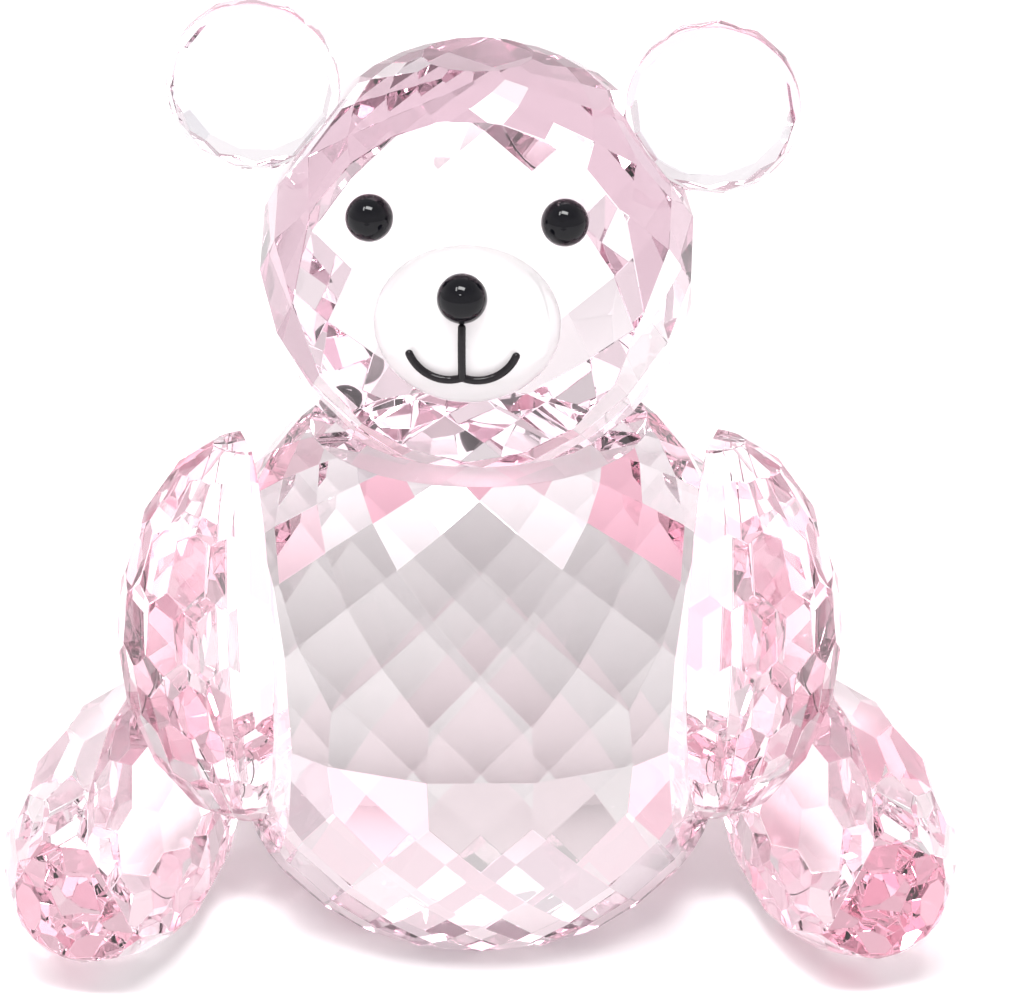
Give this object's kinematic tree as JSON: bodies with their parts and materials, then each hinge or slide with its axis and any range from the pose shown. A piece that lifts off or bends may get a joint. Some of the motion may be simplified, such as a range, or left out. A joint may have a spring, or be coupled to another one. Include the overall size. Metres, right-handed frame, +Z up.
{
  "type": "crystal glass figurine",
  "caption": "Seated teddy bear figurine of faceted pink crystal glass, with disc ears, a domed muzzle, black bead eyes and nose, and a wire mouth.",
  "frame": {"origin": "centre of the flat underside of the body, on the surface that the bear sits on", "axes": "+Z up, the bear's face looks along -Y, +X is to the right of someone who faces the bear"},
  "size_m": [0.0664, 0.0408, 0.0655],
  "materials": {
    "pink_crystal": "polished, faceted, pale pink tint",
    "clear_crystal": "polished, smooth",
    "black_bead": "high gloss black",
    "black_wire": "glossy black lacquered wire",
    "clear_glue": "clear cured adhesive"
  },
  "bodies": {
    "root": {"body": "pink_crystal", "head": "pink_crystal", "ear_left": "pink_crystal", "ear_right": "pink_crystal", "arm_left": "pink_crystal", "arm_right": "pink_crystal", "leg_left": "pink_crystal", "leg_right": "pink_crystal", "muzzle": "clear_crystal", "eye_left": "black_bead", "eye_right": "black_bead", "nose": "black_bead", "mouth_wire": "black_wire", "glue_neck": "clear_glue", "glue_ear_left": "clear_glue", "glue_ear_right": "clear_glue", "glue_arm_left": "clear_glue", "glue_arm_right": "clear_glue", "glue_leg_left": "clear_glue", "glue_leg_right": "clear_glue", "glue_muzzle": "clear_glue", "glue_eye_left": "clear_glue", "glue_eye_right": "clear_glue", "glue_nose": "clear_glue"}
  },
  "joints": []
}
